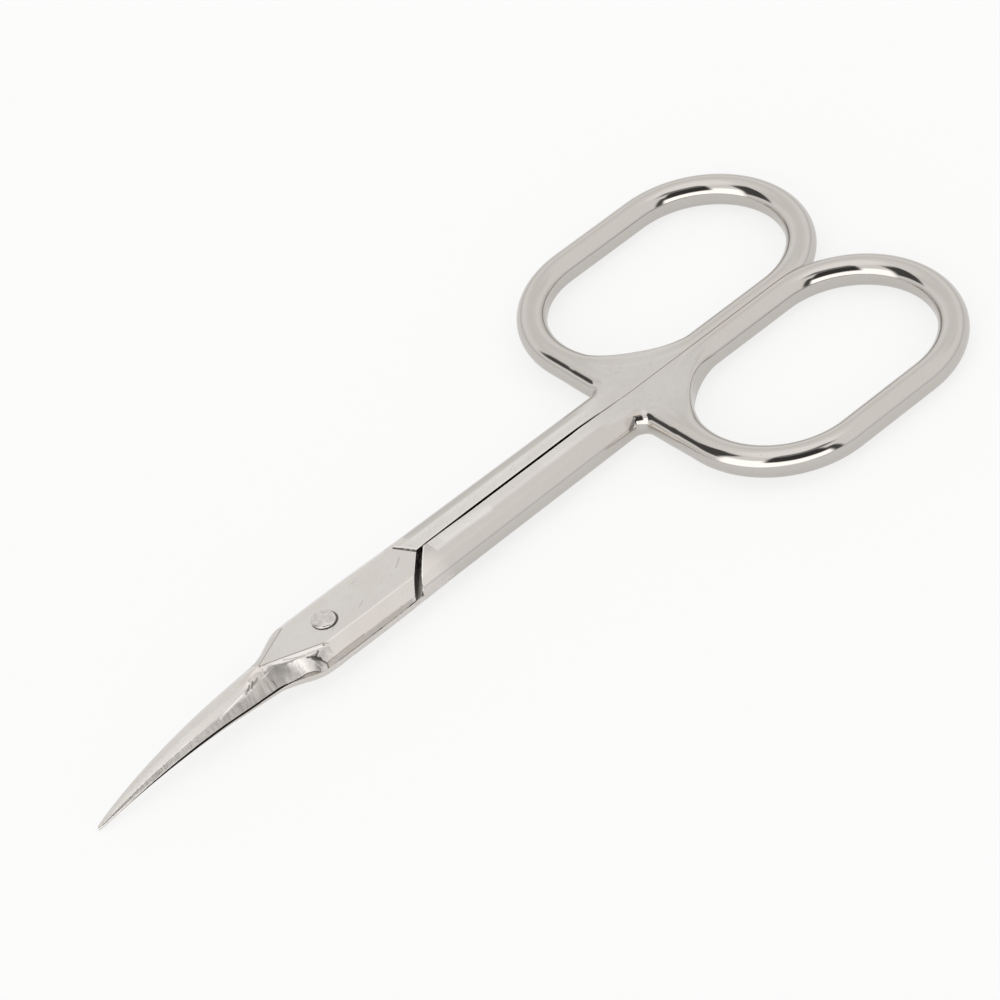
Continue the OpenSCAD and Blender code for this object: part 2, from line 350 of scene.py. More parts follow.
def handle(x, y, h):
    """Ring, web and shank, cut back for the other half's plate and by the panel's cutter."""
    body = soft_join(shank(x, y, h), ring_and_web(x, y, h), 0.16)
    body = soft_cut(body, belt_scoop(x, y, h), 0.1)
    body = soft_cut(body, -np.maximum(h - 0.15, (x + y - 11.154) / math.sqrt(2)), 0.14)
    body = soft_cut(body, -np.maximum(0.3 - h, step_line(x, y)), 0.12)
    relief = 0.012 + 0.06 * ease(x, 10.6, 11.8) + 0.05 * ease(x, 12.0, 17.0)
    relief = 0.012 + (relief - 0.012) * (1 - ease(x, 27.0, 34.5))
    return soft_cut(body, relief - y, 0.12)


print("inner face back from the middle plane at the joint and in the blade in mm:",
      [round(float(seam(np.array(x))), 3) for x in (0.0, -10.0)])

# %% [markdown]
# The front of the joint narrows to the blade. The flat panel ends in a point, and from there a soft ridge
# runs to the tip: on one side of it the steel is polished, on the other a wheel has ground a facet down
# to the back of the blade. Each cross-section is a polygon, so the front is one solid whose corners
# slide along as the section moves to the tip.

# %% Joint front and blade
TIP_X, ROOT_X = 25.6, 6.94


def blade_corners(d):
    """The corners (y, h) of the section at distance d in front of the screw, from back to edge."""
    t = np.clip((d - ROOT_X) / (TIP_X - ROOT_X), 0, 1)
    u = np.clip((d - 1.5) / (ROOT_X - 1.5), 0, 1)
    s = np.clip((d - 2.6) / (ROOT_X - 2.6), 0, 1)
    front = d < ROOT_X
    half = np.where(front, 3.3 - 1.45 * (0.5 - 0.5 * np.cos(np.pi * s)), 0.1 + 1.75 * (1 - t) ** 0.68)
    edge = half - 0.14 * np.where(front, u, (1 - t) ** 0.7)
    run = ease(t, 0.0, 0.14)
    ridge = 0.15 + 0.98 * (1 - t) ** 0.8
    top = 1.5 + (ridge - 1.5) * run
    back_h = np.where(front, 0.6 - 0.17 * u, 0.11 * (1 - t) + 0.06)
    edge_h = np.where(front, 0.6 - 0.1 * u, 0.4 * (1 - t) ** 2 + 0.1)
    left = np.where(front, -2.2 + 2.48 * u, 0.28 - (0.28 + 0.05 * half) * run)
    right = np.where(front, np.minimum(2.2, 0.36 + (ROOT_X - d) / 2.24), 0.36 + (0.42 * half - 0.36) * run)
    middle = np.where(front, (left - half) / 2, -half * (0.325 + 0.295 * run))
    swell = 0.16 * ease(u, 0.0, 0.15) * (1 - ease(u, 0.4, 1.0))
    middle_h = np.where(front, (top + back_h) / 2 + swell, 1.06 + (0.86 * ridge - 1.06) * run)
    low = seam(-d)
    back_h = np.maximum(np.minimum(back_h, top), low + 0.03)
    edge_h = np.maximum(np.minimum(edge_h, top * 0.9), low + 0.03)
    return [(-half, low), (-half, back_h), (middle, middle_h), (left, top),
            (right, top * (1 - 0.07 * run)), (edge, edge_h), (edge, low)]


ROUND_OVER = (0.02, 0.05, 0.12, 0.05, 0.08, 0.03, 0.02)   # how much each corner is rounded


def blade(x, y, h):
    """The front of the joint and the blade: what lies inside all sides of the section."""
    corners = blade_corners(-x)
    solid = None
    for i, (y0, h0) in enumerate(corners):
        y1, h1 = corners[(i + 1) % len(corners)]
        length = np.hypot(y1 - y0, h1 - h0) + 1e-6
        side = ((h0 - h1) * (y - y0) + (y1 - y0) * (h - h0)) / length
        solid = side if solid is None else soft_cut(solid, side, ROUND_OVER[i])
    return np.maximum(solid, np.maximum(-TIP_X - x, x + 1.2))


half_way = blade_corners(np.array(16.0))
print("blade width and ridge height half way to the tip in mm:",
      [round(float(v), 2) for v in (2 * half_way[-1][0], half_way[3][1])])

# %% [markdown]
# The grinding wheel that makes the blade's facet also bites into the front of the joint. It steepens
# towards the joint and runs out in a round shoulder, whose bright fan is a painted highlight in the
# material.

# %% Wheel cut at the heel
WHEEL_STOP, WHEEL_R = -4.4, 1.1   # where the wheel's cut begins to rise, and its radius there
BORE_R = 0.93


def wheel_cut(x, y, h):
    """The steel that the grinding wheel takes away, with its rounded end at the heel."""
    steep = 0.71 + 0.85 * np.clip((x + ROOT_X) / 2.58, 0, 1.3) ** 2.2
    foot = -2.02 - 0.0865 * (x + ROOT_X)
    over = (h - 0.05 - (y - foot) * steep) / np.sqrt(1 + steep ** 2)
    past = x - WHEEL_STOP
    cut = np.where(past < 0, over, WHEEL_R - np.hypot(past, WHEEL_R - over))
    return cut - 0.12 * np.maximum(-ROOT_X - x, 0)


def half_shape(x, y, h):
    """The whole half, flat: the distance in mm from its surface, below zero inside the steel."""
    shape = soft_join(joint_plate(x, y, h), handle(x, y, h), 0.02)
    shape = np.where(x < -1.3, blade(x, y, h), shape)
    shape = soft_cut(shape, wheel_cut(x, y, h), 0.04)
    return soft_cut(shape, BORE_R - np.hypot(x, y), 0.04)


print("depth of the wheel's cut below the joint's side in mm:",
      round(float(wheel_cut(np.array(WHEEL_STOP), np.array(-3.0), np.array(JOINT_SIDE))), 2))

# %% [markdown]
# To turn the distance into a skin, the space round the half is filled with small boxes. They are short
# where a step or a shoulder crosses the steel and long on the plain shank, and they shrink with the blade
# towards the tip, so that the thin tip is as well described as the broad joint. A remesh modifier would
# use cubes of one size, which are too coarse for the tip or far too many for the rings.

# %% The net of boxes
NECK_X = -1.5   # in front of this station the net follows the section of the blade
# Behind the neck: start, end and step of the stations in x
SPANS = ((-1.42, 1.5, 0.14), (1.5, 6.4, 0.26), (6.4, 11.9, 0.085), (11.9, 30.5, 0.3), (30.5, 63.4, 0.183))
blade_x = -TIP_X - 0.1 + np.cumsum(np.linspace(0.085, 0.13, 400))
before_tip = [-TIP_X - 0.3, -TIP_X - 0.1]
net_x = np.concatenate([before_tip, blade_x[blade_x < NECK_X]] + [np.arange(*span) for span in SPANS])
near_y = np.linspace(-1.03, 1.03, 57)
far_y = np.arange(3.61, 19.9, 0.185)
net_h = np.linspace(-1, 1, 30)


def net_points(x):
    """Places of the box corners, (x, y, h), for every station in x."""
    corners = blade_corners(-np.minimum(x, NECK_X))
    wide = np.where(x < NECK_X, corners[-1][0] + 0.17, 3.4)
    y = np.concatenate([near_y * wide[:, None], np.repeat(far_y[None, :], len(x), 0)], 1)
    top = np.where(x < NECK_X, corners[3][1], JOINT_T / 2)[:, None]
    low = seam(x)[:, None]
    front = (low + top) / 2 + ((top - low) / 2 + 0.035) * net_h
    share = ease(x, 2.0, 7.0)[:, None]
    height = front * (1 - share) + 1.68 * net_h * share
    shape = (len(x), y.shape[1], len(net_h))
    return [np.ascontiguousarray(np.broadcast_to(a, shape))
            for a in (x[:, None, None], y[:, :, None], height[:, None, :])]


print("corners of the net:", len(net_x), "by", len(near_y) + len(far_y), "by", len(net_h))

# %% [markdown]
# Each box that the surface passes gets one point, and neighbouring points are joined to quads. This way of
# making a skin keeps thin edges whole, and it gives quads that run along the net.

# %% The skin
def edge_places(place, value, inside):
    """For each box, the sum and number of places where the surface crosses the box's edges."""
    number = np.array(inside.shape) - 1
    total, count = np.zeros(tuple(number) + (3,)), np.zeros(tuple(number))
    for axis in range(3):
        here, ahead = [slice(None)] * 3, [slice(None)] * 3
        here[axis], ahead[axis] = slice(0, -1), slice(1, None)
        here, ahead = tuple(here), tuple(ahead)
        cross = inside[here] != inside[ahead]
        part = np.where(cross, value[here] / np.where(cross, value[here] - value[ahead], 1), 0)[..., None]
        point = np.where(cross[..., None], place[here] * (1 - part) + place[ahead] * part, 0)
        one, two = [a for a in range(3) if a != axis]
        for i in (0, 1):
            for j in (0, 1):
                cut = [slice(None)] * 3
                cut[one], cut[two] = slice(i, i + number[one]), slice(j, j + number[two])
                total += point[tuple(cut)]
                count += cross[tuple(cut)]
    return total, count


def skin():
    """Points and quads of the surface of one flat half."""
    corner = net_points(net_x)
    value = half_shape(*corner)
    inside = value < 0
    total, count = edge_places(np.stack(corner, -1), value, inside)
    used = count > 0
    index = np.full(used.shape, -1, np.int64)
    index[used] = np.arange(used.sum())
    quads = []
    for axis in range(3):
        b, c = [(1, 2), (2, 0), (0, 1)][axis]
        inner, ahead = [slice(1, -1)] * 3, [slice(1, -1)] * 3
        inner[axis], ahead[axis] = slice(0, -1), slice(1, None)
        low, high = inside[tuple(inner)], inside[tuple(ahead)]
        for mask, order in ((low & ~high, 1), (high & ~low, -1)):
            at = np.argwhere(mask)
            at[:, b] += 1
            at[:, c] += 1
            ring = []
            for back_b, back_c in ((0, 0), (1, 0), (1, 1), (0, 1)):
                box = at.copy()
                box[:, b] -= back_b
                box[:, c] -= back_c
                ring.append(index[tuple(box.T)])
            quads.append(np.stack(ring, 1)[:, ::order])
    return total[used] / count[used][:, None], np.concatenate(quads)


def slope(points, step=0.004):
    """The gradient of the shape at each point."""
    result = np.empty_like(points)
    for axis in range(3):
        shift = np.zeros(3)
        shift[axis] = step
        result[:, axis] = (half_shape(*(points + shift).T) - half_shape(*(points - shift).T)) / (2 * step)
    return result


flat_points, quads = skin()
print("points and quads of one half:", len(flat_points), len(quads))

# %% [markdown]
# The points lie near the surface, but not on it. A few Newton steps, each as long as the distance that is
# left, put every point exactly there. The slope of the distance then gives exact normals, so that the
# reflections run as smoothly as on real polished steel.

# %% Points drawn to the surface
NEWTON_STEPS, LONGEST_STEP = 3, 0.05
for _ in range(NEWTON_STEPS):
    grad = slope(flat_points)
    size = np.maximum((grad ** 2).sum(1), 0.3)[:, None]
    step = half_shape(*flat_points.T)[:, None] * grad / size
    flat_points = flat_points - np.clip(step, -LONGEST_STEP, LONGEST_STEP)
flat_slope = slope(flat_points)
flat_slope /= np.linalg.norm(flat_slope, axis=1, keepdims=True)
left_over = np.abs(half_shape(*flat_points.T))
print("points within 0.005 mm of the surface:", round(100 * float((left_over < 0.005).mean()), 2), "%")

# %% [markdown]
# The same distances also tell how each spot was finished. The wheel's cut, the slopes in front of the
# panel and the sides of the joint were ground, a level spot was lapped flat, and the inner faces and
# shoulders were left as the cutter made them. The material paints the rough share dark, as painted shade
# in the gaps between the halves and at the shoulders. The three shares are kept with the points, so that
# the material can change softly from one to the other.

# %% Where each finish lies
def finish_shares(points, normal):
    """For each point of the flat half: how much it is ground, level and lapped, or left rough and painted
    with shade.
    """
    x, y, h = points.T
    along, across, up = normal.T
    corners = blade_corners(-np.minimum(x, NECK_X))
    (y0, h0), (y1, h1) = corners[1], corners[2]
    facet = ((h0 - h1) * (y - y0) + (y1 - y0) * (h - h0)) / np.hypot(y1 - y0, h1 - h0)
    facet = np.where(x < -ROOT_X, np.abs(facet), np.abs(wheel_cut(x, y, h)))
    facet = (1 - ease(facet, 0.03, 0.09)) * (x < -2.9)
    near_slope = (x < -1.6) * (x > -8.5) * (y < -0.41 * (x + 7.6)) * (y < 0) * (up > 0.2)
    far_slope = (x < -2.7) * (x > -ROOT_X) * (y > 0.3) * (up > 0.15) * (up < 0.93)
    sides = (np.abs(across) > 0.9) * (x > -2.0) * (x < 11.5) * (h > 0.02) * (h < JOINT_SIDE + 0.05)
    ground = np.maximum(facet, np.maximum(sides, 0.8 * np.maximum(near_slope, far_slope)))

    upright = np.where(x > 11.5, np.abs(up), up)
    level = ease(upright, 0.965, 0.995) * (1 - ease(x, 38.5, 45.0)) * (1 - ease(y, 3.0, 7.0))

    inner = ease(-up, 0.6, 0.9) * (np.abs(h) < 0.25) * (x < 14)
    border = ease(np.abs(y) / corners[5][0], 0.55, 0.85) * (x < -4.6)
    shoulder = (x > 6.8) * (x < 11.4) * (1 - ease(np.abs(up), 0.4, 0.75)) * ease(np.abs(along), 0.3, 0.6)
    # The rough share also sets where the material paints shade in the gaps and on the shoulders.
    rough = np.maximum(inner * (0.4 + 0.35 * border), shoulder)
    return np.stack([ground, level, rough], 1)


finish = finish_shares(flat_points, flat_slope)
print("share of points ground, lapped and left rough:", finish.mean(0).round(3))

# %% [markdown]
# The blades of cuticle scissors are bent last: both halves curve down towards the tip by the same amount.
# The lower half is the same forging turned over about its length, and then bent the same way as the
# upper one, so that its outer face is on the inside of the curve.

# %% Bending and placing the two halves
BEND_START, BEND_R = 11.0, 50.0


def drop(x, y):
    """How far the closed blades have curved down at a point, and its slope along x and y."""
    far = np.hypot(x, y)
    over = np.where(x < 0, np.maximum(far - BEND_START, 0), 0)
    root = np.sqrt(BEND_R ** 2 - over ** 2)
    return BEND_R - root, over / root * x / far, over / root * y / far


def store(mesh, name, values):
    """Keep three numbers with each point of a mesh, for the material to read."""
    mesh.attributes.new(name, "FLOAT_VECTOR", "POINT").data.foreach_set("vector", values.ravel())


def make_half(name, body, side):
    """One half as an object: side 1 is the upper one, side -1 is turned over for the lower one."""
    turned = np.array([1, side, side])
    x, y, h = (flat_points * turned).T
    down, down_x, down_y = drop(x, y)
    points = np.stack([x, y, h - down], 1) * MM + np.array(pivot)
    grad = flat_slope * turned
    normal = np.stack([grad[:, 0] + grad[:, 2] * down_x, grad[:, 1] + grad[:, 2] * down_y, grad[:, 2]], 1)
    normal /= np.linalg.norm(normal, axis=1, keepdims=True)
    mesh = bpy.data.meshes.new(name + "_forging")
    mesh.from_pydata(points.tolist(), [], quads.tolist())
    mesh.polygons.foreach_set("use_smooth", np.ones(len(quads), bool))
    mesh.update()
    mesh.normals_split_custom_set_from_vertices(normal.tolist())
    store(mesh, "place_mm", flat_points)
    store(mesh, "finish", finish)
    half = bpy.data.objects.new(name + "_forging", mesh)
    bpy.context.scene.collection.objects.link(half)
    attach(half, body)
    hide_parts(name)
    print(name, "from", (points.min(0) / MM).round(3), "to", (points.max(0) / MM).round(3))
    return half


upper = make_half("upper_half", "upper", 1)
lower = make_half("lower_half", "lower", -1)

# %% [markdown]
# The screw is turned from bar: a plain shaft and a low head. Its head was hammered and polished
# after assembly, so the face is slightly domed and uneven and the rim is soft. A profile spun round the
# pivot gives it, with a small wobble that keeps the face from looking machined.

# %% Pivot screw
HEAD_R, HEAD_UNDER, HEAD_TOP = 1.06, 1.52, 1.845
RIM, DOME, WOBBLE = 0.2, 0.09, 0.006
SHAFT_R, SHAFT_END, CHAMFER = 0.9, -1.45, 0.1
ROUND_COUNT, ARC_STEPS = 72, 8


def screw_profile():
    """Radius and height pairs from the bottom of the shaft to the crown of the head."""
    rows = [(0.0, SHAFT_END), (SHAFT_R - CHAMFER, SHAFT_END), (SHAFT_R, SHAFT_END + CHAMFER),
            (SHAFT_R, HEAD_UNDER), (HEAD_R - 0.04, HEAD_UNDER), (HEAD_R, HEAD_UNDER + 0.04)]
    face_r, rim_top = HEAD_R - RIM, HEAD_TOP - DOME
    for step in range(ARC_STEPS + 1):
        angle = math.radians(90 * step / ARC_STEPS)
        rows.append((face_r + RIM * math.cos(angle), rim_top - RIM + RIM * math.sin(angle)))
    for step in range(1, ARC_STEPS + 1):
        r = face_r * (1 - step / ARC_STEPS)
        rows.append((r, HEAD_TOP - DOME * (r / face_r) ** 2))
    return rows


def make_screw():
    """The profile spun round the pivot, closed by a fan of faces at each end."""
    rows, count = screw_profile(), ROUND_COUNT
    points, faces = [], []
    for r, z in rows[1:-1]:
        for i in range(count):
            angle = 2 * math.pi * i / count
            on_face = max(0.0, (z - HEAD_TOP + 0.12) / 0.12)
            wobble = WOBBLE * on_face * (math.sin(3 * angle + 1.1) + math.sin(7.0 * r + 2 * angle))
            points.append((r * math.cos(angle), r * math.sin(angle), z + wobble))
    ends = [(0.0, 0.0, rows[0][1]), (0.0, 0.0, rows[-1][1])]
    for j in range(len(rows) - 3):
        for i in range(count):
            k = (i + 1) % count
            faces.append((j * count + i, j * count + k, (j + 1) * count + k, (j + 1) * count + i))
    bottom, crown, last = len(points), len(points) + 1, (len(rows) - 3) * count
    for i in range(count):
        k = (i + 1) % count
        faces.append((bottom, k, i))
        faces.append((crown, last + i, last + k))
    local = np.array(points + ends)
    mesh = bpy.data.meshes.new("pivot_screw_turned")
    mesh.from_pydata((local * MM + np.array(pivot)).tolist(), [], faces)
    mesh.polygons.foreach_set("use_smooth", np.ones(len(faces), bool))
    store(mesh, "place_mm", local)
    screw = bpy.data.objects.new("pivot_screw_turned", mesh)
    bpy.context.scene.collection.objects.link(screw)
    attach(screw, "lower")
    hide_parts("pivot_screw")
    return screw


screw = make_screw()
print("faces of the screw:", len(screw.data.polygons))

# %% [markdown]
# Four effects show on the metal: fine scratches from polishing and use, grinding lines that lie across
# the way the wheel moved, tiny dark specks, and thin lines where two cuts meet. Each is a node group,
# built once and placed in the materials with its own values. They all read the millimetre place that is
# stored with the points, so they stay on the steel when the scissors open.

# %% Helpers for the effects
def effect(name, inputs, outputs):
    """An empty node group with its sockets, and its input and output nodes."""
    tree = bpy.data.node_groups.new(name, "ShaderNodeTree")
    for socket, kind, value in inputs:
        made = tree.interface.new_socket(socket, in_out="INPUT", socket_type=kind)
        if value is not None:
            made.default_value = value
    for socket in outputs:
        tree.interface.new_socket(socket, in_out="OUTPUT", socket_type="NodeSocketFloat")
    return tree, tree.nodes.new("NodeGroupInput").outputs, tree.nodes.new("NodeGroupOutput").inputs


def vector(tree, operation, a, b):
    """The outputs of one vector node: the vector first, then the number."""
    return add(tree, "ShaderNodeVectorMath", {0: a, 1: b}, operation=operation).outputs


def noise(tree, place, scale, detail=2.0, roughness=0.5):
    """A cloudy noise between 0 and 1."""
    return add(tree, "ShaderNodeTexNoise", {"Vector": place, "Scale": scale, "Detail": detail,
                                            "Roughness": roughness}).outputs["Fac"]


def stretched(tree, place, turn, scale, detail=2.0):
    """A noise that is turned about h and stretched by its scale along each direction."""
    turned = add(tree, "ShaderNodeVectorRotate", {"Vector": place, "Angle": math.radians(turn)}).outputs[0]
    return noise(tree, vector(tree, "MULTIPLY", turned, scale)[0], 1.0, detail, 0.55)


print("helpers for effects: effect, vector, noise, stretched")

# %% [markdown]
# A scratch is a long thin streak. A noise that is stretched in one direction and cut off high gives a few
# of them, and four directions laid over each other give the crossed hairlines of a thing that is wiped
# and carried about. An image of scratches would repeat and blur when seen this close.

# %% Fine scratches
SCRATCH_RUNS = ((8, 0.5, 14.0), (-34, 0.7, 11.0), (71, 0.9, 12.0), (128, 0.6, 13.0))  # angle, along, across
scratches, given, result = effect("fine_scratches", [
    ("Place", "NodeSocketVector", None), ("Amount", "NodeSocketFloat", 1.0)], ["Height", "Mark"])
marks = None
for angle, lengthwise, across in SCRATCH_RUNS:
    streak = stretched(scratches, given["Place"], angle, (lengthwise, across, across))
    streak = fade(scratches, streak, 0.665, 0.73)
    marks = streak if marks is None else calc(scratches, "MAXIMUM", marks, streak)
marks = calc(scratches, "MULTIPLY", marks, given["Amount"])
scratches.links.new(marks, result["Mark"])
scratches.links.new(calc(scratches, "MULTIPLY", marks, -1.0), result["Height"])
print("directions of scratches:", len(SCRATCH_RUNS))

# %% [markdown]
# A grinding wheel leaves fine lines across its cut, and broader bands where it was pressed harder. Two
# noises that are stretched the same way give both.

# %% Grinding lines
grinding, given, result = effect("grinding_lines", [
    ("Place", "NodeSocketVector", None), ("Lean", "NodeSocketFloat", 0.0)], ["Height", "Band"])
turned = add(grinding, "ShaderNodeVectorRotate", {"Vector": given["Place"], "Angle": given["Lean"]})
fine = stretched(grinding, turned.outputs[0], 0, (14.0, 0.8, 0.8), 3.0)
broad = stretched(grinding, turned.outputs[0], 0, (2.6, 0.5, 0.5))
uneven = calc(grinding, "ADD", fine, calc(grinding, "MULTIPLY", broad, 1.6))
grinding.links.new(uneven, result["Height"])
grinding.links.new(fade(grinding, broad, 0.35, 0.65), result["Band"])
print("nodes of the grinding lines:", len(grinding.nodes))

# %% [markdown]
# Pinholes in the plating fill with dark polish. They come in patches, so a coarse noise chooses where the
# fine one may show.

# %% Dark specks
specks, given, result = effect("dark_specks", [
    ("Place", "NodeSocketVector", None), ("Share", "NodeSocketFloat", 0.3)], ["Mask"])
spots = fade(specks, noise(specks, given["Place"], 3.3, 3.0, 0.6), 0.66, 0.74)
patches = fade(specks, noise(specks, given["Place"], 0.45, 1.0), 0.48, 0.62)
spotted = calc(specks, "MULTIPLY", calc(specks, "MULTIPLY", spots, patches), given["Share"])
specks.links.new(spotted, result["Mask"])
print("nodes of the specks:", len(specks.nodes))

# %% [markdown]
# A thin line between two places in plan is a mask by the distance from it: the nearest point of the line
# is found first, held between the two ends, and then the mask fades out within the line's width.

# %% Drawn line
drawn_line, given, result = effect("drawn_line", [
    ("Place", "NodeSocketVector", None), ("Start", "NodeSocketVector", None),
    ("End", "NodeSocketVector", None), ("Width", "NodeSocketFloat", 0.1)], ["Mask"])
in_plan = vector(drawn_line, "MULTIPLY", given["Place"], (1.0, 1.0, 0.0))[0]
along = vector(drawn_line, "SUBTRACT", given["End"], given["Start"])[0]
away = vector(drawn_line, "SUBTRACT", in_plan, given["Start"])[0]
part = calc(drawn_line, "DIVIDE", vector(drawn_line, "DOT_PRODUCT", away, along)[1],
            vector(drawn_line, "DOT_PRODUCT", along, along)[1], clamp=True)
nearest = add(drawn_line, "ShaderNodeVectorMath", {0: along, "Scale": part}, operation="SCALE").outputs[0]
off_line = vector(drawn_line, "DISTANCE", away, nearest)[1]
full_width = calc(drawn_line, "MULTIPLY", given["Width"], 0.35)
drawn_line.links.new(fade(drawn_line, off_line, full_width, given["Width"], 1.0, 0.0), result["Mask"])
print("effects:", [group.name for group in bpy.data.node_groups])

# %% [markdown]
# The halves are nickel plated over polished steel. Every finish has its own tone: the lapped panel and
# flats, the bevels, the round bars, the ground cuts, and what dirt and handling add. The bevels and round
# bars, which do not face straight up, are made darker than the level faces, which is partly painted shade,
# and some tones are painted highlights and painted shade. The tones are kept together here, because they
# were matched to each other.

# %% Tones of the steel
PANEL = (0.745, 0.717, 0.683, 1.0)
# The bevels and round bars do not face straight up: their darker tones are partly painted shade.
BEVEL = (0.735, 0.70, 0.662, 1.0)
SHANK_FLAT = (0.78, 0.753, 0.725, 1.0)
WEB_FLAT = (0.675, 0.65, 0.622, 1.0)
ROUND_BAR_SHADED = (0.61, 0.583, 0.55, 1.0)
WARM_CAST = (0.60, 0.555, 0.51, 1.0)
STONE_LOW, STONE_HIGH = (0.47, 0.44, 0.41, 1.0), (0.63, 0.60, 0.57, 1.0)
# The heel's stone tone is a painted highlight for the bright fan at the rounded end of the wheel's cut.
STONE_TIP, STONE_HEEL_HIGHLIGHT = (0.93, 0.895, 0.855, 1.0), (0.82, 0.79, 0.755, 1.0)
STONE_RIM, STONE_GRIT = (0.60, 0.57, 0.54, 1.0), (0.50, 0.44, 0.40, 1.0)
SCRATCH, SPECK, GRIT = (0.36, 0.34, 0.32, 1.0), (0.30, 0.27, 0.24, 1.0), (0.50, 0.45, 0.41, 1.0)
# Painted shade of the inner faces and shoulders, in the gaps between the halves.
GAP_SHADE = (0.2, 0.187, 0.172, 1.0)
# Dark nicks, and painted shade in the step, in the seam between the halves and round the screw head.
DARK_NICK_AND_SHADE = (0.09, 0.083, 0.075, 1.0)
SMUDGE = (0.22, 0.20, 0.18, 1.0)
BROWN = (0.33, 0.285, 0.24, 1.0)
# Painted highlight: the white lines on rounded edges, ridges and rims, and a light patch behind the lower
# shoulder.
PAINTED_HIGHLIGHT = (0.93, 0.91, 0.885, 1.0)
print("brightness of panel, shank, web and round bar:", PANEL[0], SHANK_FLAT[0], WEB_FLAT[0], ROUND_BAR_SHADED[0])

# %% [markdown]
# A finish is built up like paint: a base, and one tone after another laid over it where a mask allows.
# Three helpers do that: one lays a tone over a colour, one places an effect, and one draws lines.

# %% Helpers for laying tones
def blend(tree, share, a, b):
    """Colour a going over to colour b."""
    return add(tree, "ShaderNodeMix", {0: share, 6: a, 7: b}, data_type="RGBA").outputs[2]


def group_node(tree, group, inputs):
    """The outputs of an effect placed in a material with its own values."""
    made = tree.nodes.new("ShaderNodeGroup")
    made.node_tree = group
    for key, value in inputs.items():
        if isinstance(value, bpy.types.NodeSocket):
            tree.links.new(value, made.inputs[key])
        else:
            made.inputs[key].default_value = value
    return made.outputs


def draw(tree, place, colour, side, rows):
    """Thin lines laid over a colour: start, end, width in mm, strength and the tone of the line."""
    for start, end, width, strength, ink in rows:
        mask = group_node(tree, drawn_line, {"Place": place, "Start": (*start, 0.0), "End": (*end, 0.0),
                                             "Width": width})["Mask"]
        share = calc(tree, "MULTIPLY", mask, calc(tree, "MULTIPLY", side, strength))
        colour = blend(tree, share, colour, ink)
    return colour


print("helpers for tones: blend, group_node, draw")

# %% [markdown]
# One material serves both halves and lets the stored shares choose the finish, so that no border is hard.
# It starts with the tones of the level faces and the round bars. A slow noise adds a warm cast, as nickel
# has where its polish is older.

# %% Plated steel of the halves
plated = bpy.data.materials.new("plated_steel")
plated.use_nodes = True
steel = plated.node_tree
shader = steel.nodes["Principled BSDF"]
place = add(steel, "ShaderNodeAttribute", attribute_name="place_mm").outputs["Vector"]
x_mm, y_mm, h_mm = add(steel, "ShaderNodeSeparateXYZ", {0: place}).outputs
shares = add(steel, "ShaderNodeAttribute", attribute_name="finish").outputs["Vector"]
ground, level, rough_and_shade = add(steel, "ShaderNodeSeparateXYZ", {0: shares}).outputs
tone = noise(steel, place, 0.35, 3.0)
on_handle = fade(steel, x_mm, 9.6, 12.0)
flat_colour = blend(steel, fade(steel, x_mm, 28.0, 34.0), SHANK_FLAT, WEB_FLAT)
flat_colour = blend(steel, on_handle, PANEL, flat_colour)
# Faces that are not level take the darker bevel and round bar tones, partly painted shade.
colour = blend(steel, level, blend(steel, on_handle, BEVEL, ROUND_BAR_SHADED), flat_colour)
colour = blend(steel, fade(steel, tone, 0.35, 0.68, 0.0, 0.2), colour, WARM_CAST)
print("nodes for the base tones:", len(steel.nodes))

# %% [markdown]
# The ground cuts show bands where the wheel was pressed harder. They are lightest at the tip, and the
# rounded end of the cut is painted light, a painted highlight for its bright fan. Above that end they are a
# little darker. Fine grit breaks the tone up.

# %% Tones of the ground cuts
lines = group_node(steel, grinding, {"Place": place, "Lean": 0.25})
grain = noise(steel, place, 6.0)
stoned = blend(steel, lines["Band"], STONE_LOW, STONE_HIGH)
stoned = blend(steel, fade(steel, x_mm, -10.5, -17.0), stoned, STONE_TIP)
# Painted highlight: the rounded end of the cut is made light as its bright fan.
stoned = blend(steel, fade(steel, x_mm, -6.7, -5.6, 0.0, 0.8), stoned, STONE_HEEL_HIGHLIGHT)
above_end = fade(steel, calc(steel, "ADD", y_mm, calc(steel, "MULTIPLY", x_mm, 0.7)), -4.4, -4.1)
above_end = calc(steel, "MULTIPLY", above_end, fade(steel, h_mm, 0.7, 1.0))
stoned = blend(steel, above_end, stoned, STONE_RIM)
stoned = blend(steel, fade(steel, grain, 0.45, 0.65, 0.0, 0.22), stoned, STONE_GRIT)
colour = blend(steel, calc(steel, "MULTIPLY", ground, 0.9), colour, stoned)
print("nodes with the ground cuts:", len(steel.nodes))

# %% [markdown]
# Use leaves hairlines on the level faces, which show darker than the polish around them. Specks and a
# fine grain lie over all of the plating.

# %% Scratches, specks and grain
scratch = group_node(steel, scratches, {"Place": place, "Amount": 1.0})
speck = group_node(steel, specks, {"Place": place, "Share": 0.8})
scratched = calc(steel, "MULTIPLY", scratch["Mark"], calc(steel, "MULTIPLY", level, 0.28))
colour = blend(steel, scratched, colour, SCRATCH)
colour = blend(steel, calc(steel, "MULTIPLY", speck["Mask"], 0.4), colour, SPECK)
colour = blend(steel, fade(steel, grain, 0.5, 0.75, 0.0, 0.14), colour, GRIT)
print("nodes with the wear:", len(steel.nodes))
